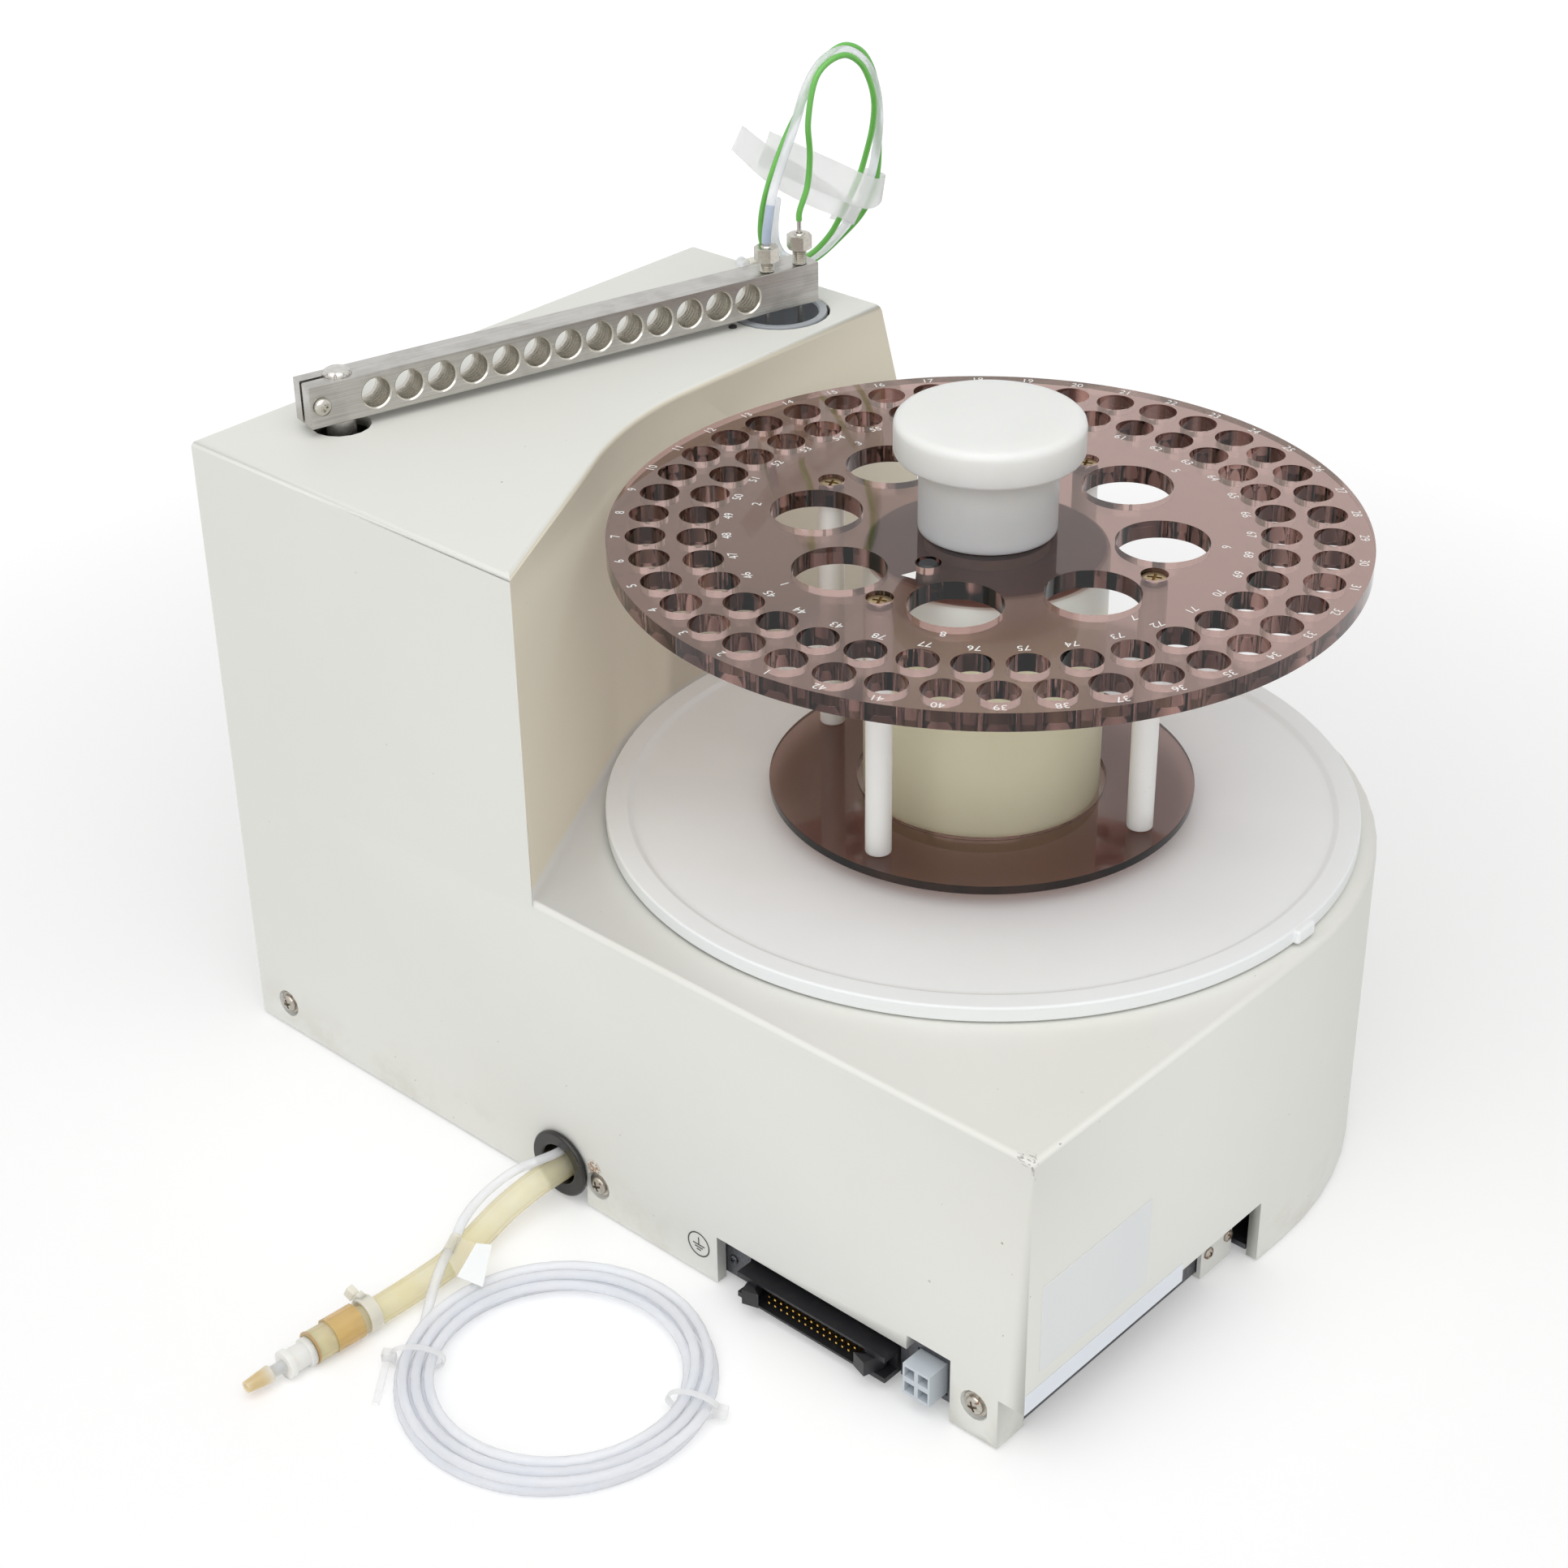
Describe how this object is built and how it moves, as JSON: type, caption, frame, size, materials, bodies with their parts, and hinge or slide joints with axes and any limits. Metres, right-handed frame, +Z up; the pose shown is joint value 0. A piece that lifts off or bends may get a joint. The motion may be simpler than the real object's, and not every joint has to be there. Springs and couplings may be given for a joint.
{
  "type": "autosampler",
  "caption": "Bench autosampler with a smoked tube rack on a turntable and a lifting steel needle arm on a rear tower",
  "frame": {"origin": "on the ground, centred under the rigid pieces", "axes": "+Z up, -Y the front face, -X the face with the connectors"},
  "size_m": [0.4023, 0.352, 0.319],
  "materials": {
    "cover_plastic": "satin",
    "grey_metal": "satin",
    "steel": "brushed",
    "zinc": "satin",
    "black_rubber": "satin",
    "black_plastic": "satin",
    "cream_plastic": "satin",
    "white_plastic": "satin",
    "smoke_acrylic": "smoked",
    "clear_plastic": "milky",
    "motor_black": "satin",
    "board_green": "satin",
    "grey_cup": "satin",
    "green_tube": "glossy",
    "clear_tube": "translucent",
    "amber_tube": "translucent",
    "acetal": "satin"
  },
  "bodies": {
    "base": {"cover_shell": "cover_plastic", "cover_screw_rear": "zinc", "cover_screw_middle": "zinc", "cover_screw_front": "zinc", "chassis_plate": "grey_metal", "foot_front_left": "black_rubber", "foot_front_right": "black_rubber", "foot_rear_left": "black_rubber", "foot_rear_right": "black_rubber", "notch_bracket": "cover_plastic", "cable_grommet": "black_rubber", "signal_header": "black_plastic", "power_socket": "white_plastic", "circuit_board": "board_green", "rinse_cup": "grey_cup", "spindle_housing": "grey_metal", "spindle_bearing_lower": "steel", "spindle_bearing_upper": "steel", "turntable_motor": "motor_black", "arm_column": "grey_metal", "shaft_bush": "acetal", "guide_rod": "steel", "lift_motor": "motor_black", "drain_hose": "amber_tube", "hose_reducer": "acetal", "rinse_tube": "clear_tube", "tube_coil": "clear_tube"},
    "turntable": {"spindle": "steel", "turntable_gear": "acetal", "tray_pan": "white_plastic", "hub_drum": "cream_plastic"},
    "tube_rack": {"top_disc": "smoke_acrylic", "lower_disc": "smoke_acrylic", "lifting_knob": "clear_plastic", "rack_post_1": "white_plastic", "rack_post_2": "white_plastic", "rack_post_3": "white_plastic", "rack_post_4": "white_plastic", "rack_screw_1": "zinc", "rack_screw_2": "zinc", "rack_screw_3": "zinc", "rack_screw_4": "zinc"},
    "table_drive": {"turntable_pinion": "steel"},
    "carriage": {"lift_carriage": "grey_metal", "swing_motor": "motor_black", "lift_rack": "steel"},
    "arm": {"arm_shaft": "steel", "arm_bar": "steel", "arm_clamp_screw": "zinc", "rinse_needle": "steel", "sample_needle": "steel", "rinse_fitting": "zinc", "sample_fitting": "zinc", "swing_gear": "acetal", "arm_tube_green": "green_tube", "arm_tube_clear": "clear_tube"},
    "swing_drive": {"swing_pinion": "steel"},
    "lift_drive": {"lift_pinion": "steel"},
    "latch_front": {"header_latch_front": "black_plastic"},
    "latch_rear": {"header_latch_rear": "black_plastic"}
  },
  "joints": [
    {"name": "turntable_spin", "type": "hinge", "parent": "base", "child": "turntable", "pos_m": [0.00748, -0.046, 0.1135], "axis": [0, 0, 1], "continuous": true},
    {"name": "rack_lift_off", "type": "slide", "parent": "turntable", "child": "tube_rack", "axis": [0, 0, 1], "range_m": [0, 0.1]},
    {"name": "turntable_pinion_spin", "type": "hinge", "parent": "base", "child": "table_drive", "pos_m": [-0.03762, -0.06242, 0.092], "axis": [0, 0, 1], "continuous": true},
    {"name": "arm_lift", "type": "slide", "parent": "base", "child": "carriage", "axis": [0, 0, 1], "range_m": [0, 0.1]},
    {"name": "arm_swing", "type": "hinge", "parent": "carriage", "child": "arm", "pos_m": [-0.09052, 0.148, 0.239], "axis": [0, 0, 1], "range_deg": [-2, 4.5]},
    {"name": "swing_pinion_spin", "type": "hinge", "parent": "carriage", "child": "swing_drive", "pos_m": [-0.10466, 0.13386, 0.082], "axis": [0, 0, 1], "range_deg": [-11, 5]},
    {"name": "lift_pinion_spin", "type": "hinge", "parent": "base", "child": "lift_drive", "pos_m": [-0.02627, 0.148, 0.115], "axis": [0, 1, 0], "range_deg": [-5, 960]},
    {"name": "front_latch_swing", "type": "hinge", "parent": "base", "child": "latch_front", "pos_m": [-0.12962, -0.1204, 0.0087], "axis": [0, 0, 1], "range_deg": [0, 35]},
    {"name": "rear_latch_swing", "type": "hinge", "parent": "base", "child": "latch_rear", "pos_m": [-0.12962, -0.0686, 0.0087], "axis": [0, 0, 1], "range_deg": [-35, 0]}
  ],
  "couplings": [
    {"joint": "turntable_pinion_spin", "follows": "turntable_spin", "ratio": -3},
    {"joint": "swing_pinion_spin", "follows": "arm_swing", "ratio": -2.3333},
    {"joint": "lift_pinion_spin", "follows": "arm_lift", "rad_per_m": 166.67}
  ]
}
